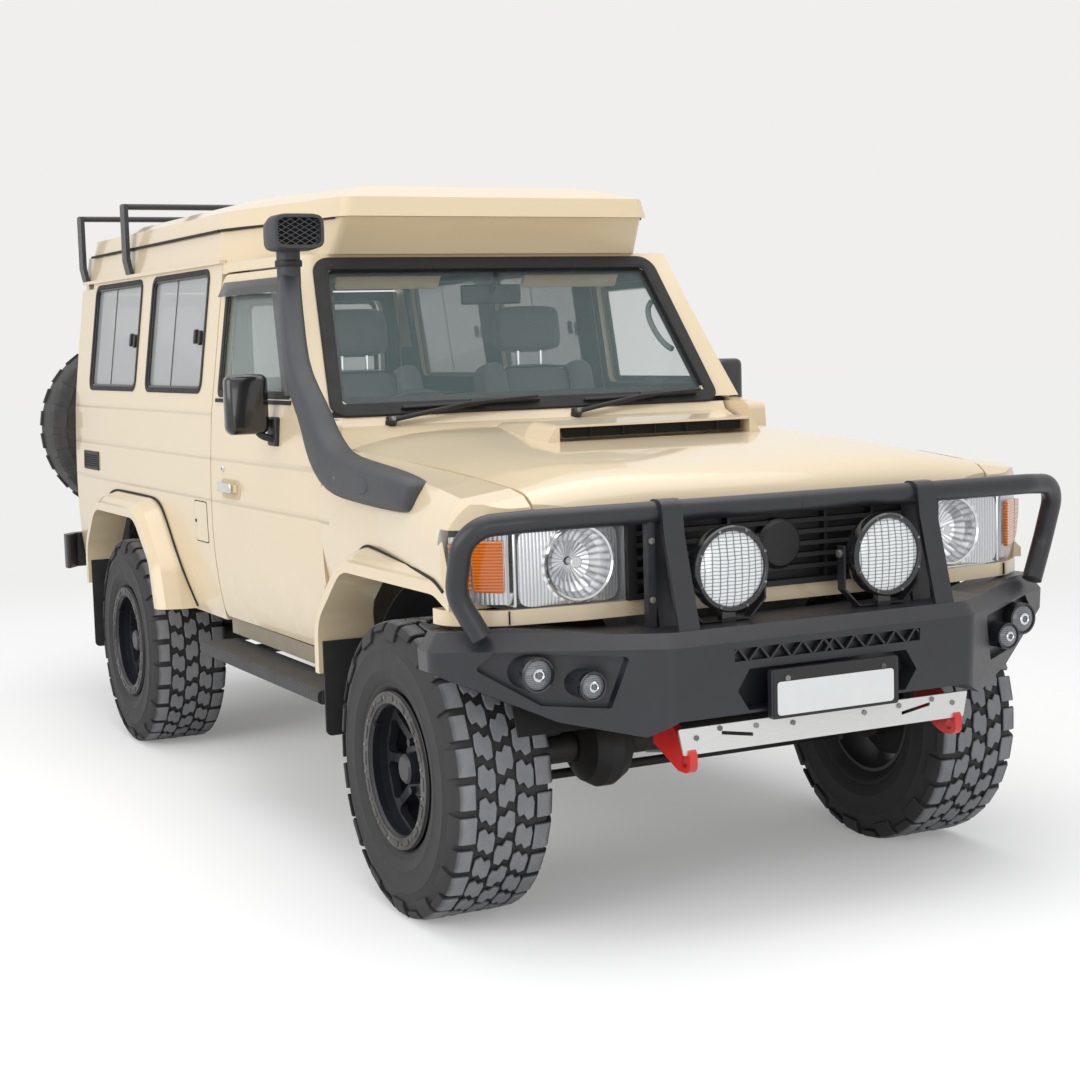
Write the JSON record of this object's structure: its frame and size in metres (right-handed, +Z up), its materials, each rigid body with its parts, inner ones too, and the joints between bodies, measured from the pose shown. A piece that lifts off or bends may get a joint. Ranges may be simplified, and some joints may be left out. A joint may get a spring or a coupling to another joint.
{
  "type": "off-road vehicle",
  "caption": "Lifted long-wheelbase off-road 4x4 with bull bar, snorkel, raised roof lid, opening doors and bonnet, steered front wheels and a rear-mounted spare.",
  "frame": {"origin": "middle of the part's box in plan, on the ground under the tyres", "axes": "+Z up, -Y the way it drives, -X its right-hand (driver's) side"},
  "size_m": [2.1052, 5.285, 2.303],
  "materials": {
    "sand_paint": "gloss",
    "frame_black": "satin",
    "bar_black": "satin powder coat",
    "black_plastic": "matte",
    "snorkel_plastic": "grained",
    "glass_clear": "clear",
    "glass_smoked": "smoked",
    "tyre_rubber": "matte",
    "flap_rubber": "matte",
    "lamp_lens": "clear",
    "lamp_red": "gloss",
    "lamp_black": "gloss",
    "brushed_plate": "brushed",
    "hook_red": "satin",
    "seat_fabric": "woven",
    "dash_plastic": "grained",
    "cast_metal": "rough",
    "exhaust_steel": "dull",
    "spring_steel": "satin",
    "floor_paint": "satin"
  },
  "bodies": {
    "body": {"chassis_frame": "frame_black", "engine_block": "cast_metal", "drivetrain": "cast_metal", "exhaust": "exhaust_steel", "front_axle": "frame_black", "rear_axle": "frame_black", "springs": "spring_steel", "floor_pan": "floor_paint", "front_seats": "seat_fabric", "dashboard": "dash_plastic", "steering_wheel": "black_plastic", "roof_shell": "sand_paint", "roof_lid": "sand_paint", "windscreen_frame": "sand_paint", "fixed_glass": "glass_smoked", "grille": "black_plastic", "valance": "sand_paint", "headlights": "lamp_lens", "bumper": "bar_black", "bull_bar": "bar_black", "skid_plate": "brushed_plate", "recovery_hooks": "hook_red", "driving_lamps": "lamp_black", "snorkel": "snorkel_plastic", "side_steps": "bar_black", "mudflaps": "flap_rubber", "rear_bumper": "bar_black", "roof_bars": "bar_black", "tail_lamps": "lamp_red", "wipers": "black_plastic", "body_side_right": "sand_paint", "body_side_left": "sand_paint", "fender_right": "sand_paint", "fender_left": "sand_paint"},
    "steer_right": {"knuckle_right": "frame_black"},
    "steer_left": {"knuckle_left": "frame_black"},
    "tie_rod": {"tie_rod": "spring_steel"},
    "wheel_front_right": {"tyre_front_right": "tyre_rubber", "rim_front_right": "bar_black"},
    "wheel_front_left": {"tyre_front_left": "tyre_rubber", "rim_front_left": "bar_black"},
    "wheel_rear_right": {"tyre_rear_right": "tyre_rubber", "rim_rear_right": "bar_black"},
    "wheel_rear_left": {"tyre_rear_left": "tyre_rubber", "rim_rear_left": "bar_black"},
    "front_door_right": {"front_door_right": "sand_paint", "front_glass_right": "glass_smoked", "mirror_right": "black_plastic"},
    "front_door_left": {"front_door_left": "sand_paint", "front_glass_left": "glass_smoked", "mirror_left": "black_plastic"},
    "rear_door_right": {"rear_door_right": "sand_paint", "rear_glass_right": "glass_smoked", "spare_wheel": "tyre_rubber"},
    "rear_door_left": {"rear_door_left": "sand_paint", "rear_glass_left": "glass_smoked"},
    "bonnet": {"bonnet": "sand_paint"}
  },
  "joints": [
    {"name": "steering_right", "type": "hinge", "parent": "body", "child": "steer_right", "pos_m": [-0.7, -1.8275, 0.435], "axis": [0, 0, 1], "range_deg": [-32, 32]},
    {"name": "steering_left", "type": "hinge", "parent": "body", "child": "steer_left", "pos_m": [0.7, -1.8275, 0.435], "axis": [0, 0, 1], "range_deg": [-32, 32]},
    {"name": "tie_rod_ball", "type": "hinge", "parent": "steer_right", "child": "tie_rod", "pos_m": [-0.7, -1.6975, 0.322], "axis": [0, 0, 1], "range_deg": [-32, 32]},
    {"name": "front_right_spin", "type": "hinge", "parent": "steer_right", "child": "wheel_front_right", "pos_m": [-0.825, -1.8275, 0.435], "axis": [1, 0, 0], "continuous": true},
    {"name": "front_left_spin", "type": "hinge", "parent": "steer_left", "child": "wheel_front_left", "pos_m": [0.825, -1.8275, 0.435], "axis": [1, 0, 0], "continuous": true},
    {"name": "rear_right_spin", "type": "hinge", "parent": "body", "child": "wheel_rear_right", "pos_m": [-0.8, 1.1525, 0.435], "axis": [1, 0, 0], "continuous": true},
    {"name": "rear_left_spin", "type": "hinge", "parent": "body", "child": "wheel_rear_left", "pos_m": [0.8, 1.1525, 0.435], "axis": [1, 0, 0], "continuous": true},
    {"name": "front_door_right_hinge", "type": "hinge", "parent": "body", "child": "front_door_right", "pos_m": [-0.869, -1.0455, 1], "axis": [0, 0, 1], "range_deg": [0, 65]},
    {"name": "front_door_left_hinge", "type": "hinge", "parent": "body", "child": "front_door_left", "pos_m": [0.869, -1.0455, 1], "axis": [0, 0, -1], "range_deg": [0, 65]},
    {"name": "rear_door_right_hinge", "type": "hinge", "parent": "body", "child": "rear_door_right", "pos_m": [-0.8, 2.2285, 1.4], "axis": [0, 0, 1], "range_deg": [0, 90]},
    {"name": "rear_door_left_hinge", "type": "hinge", "parent": "body", "child": "rear_door_left", "pos_m": [0.8, 2.2285, 1.4], "axis": [0, 0, -1], "range_deg": [0, 90]},
    {"name": "bonnet_hinge", "type": "hinge", "parent": "body", "child": "bonnet", "pos_m": [0, -1.1175, 1.35], "axis": [-1, 0, 0], "range_deg": [0, 50]}
  ],
  "couplings": [
    {"joint": "steering_left", "follows": "steering_right", "ratio": 1},
    {"joint": "tie_rod_ball", "follows": "steering_right", "ratio": -1}
  ]
}
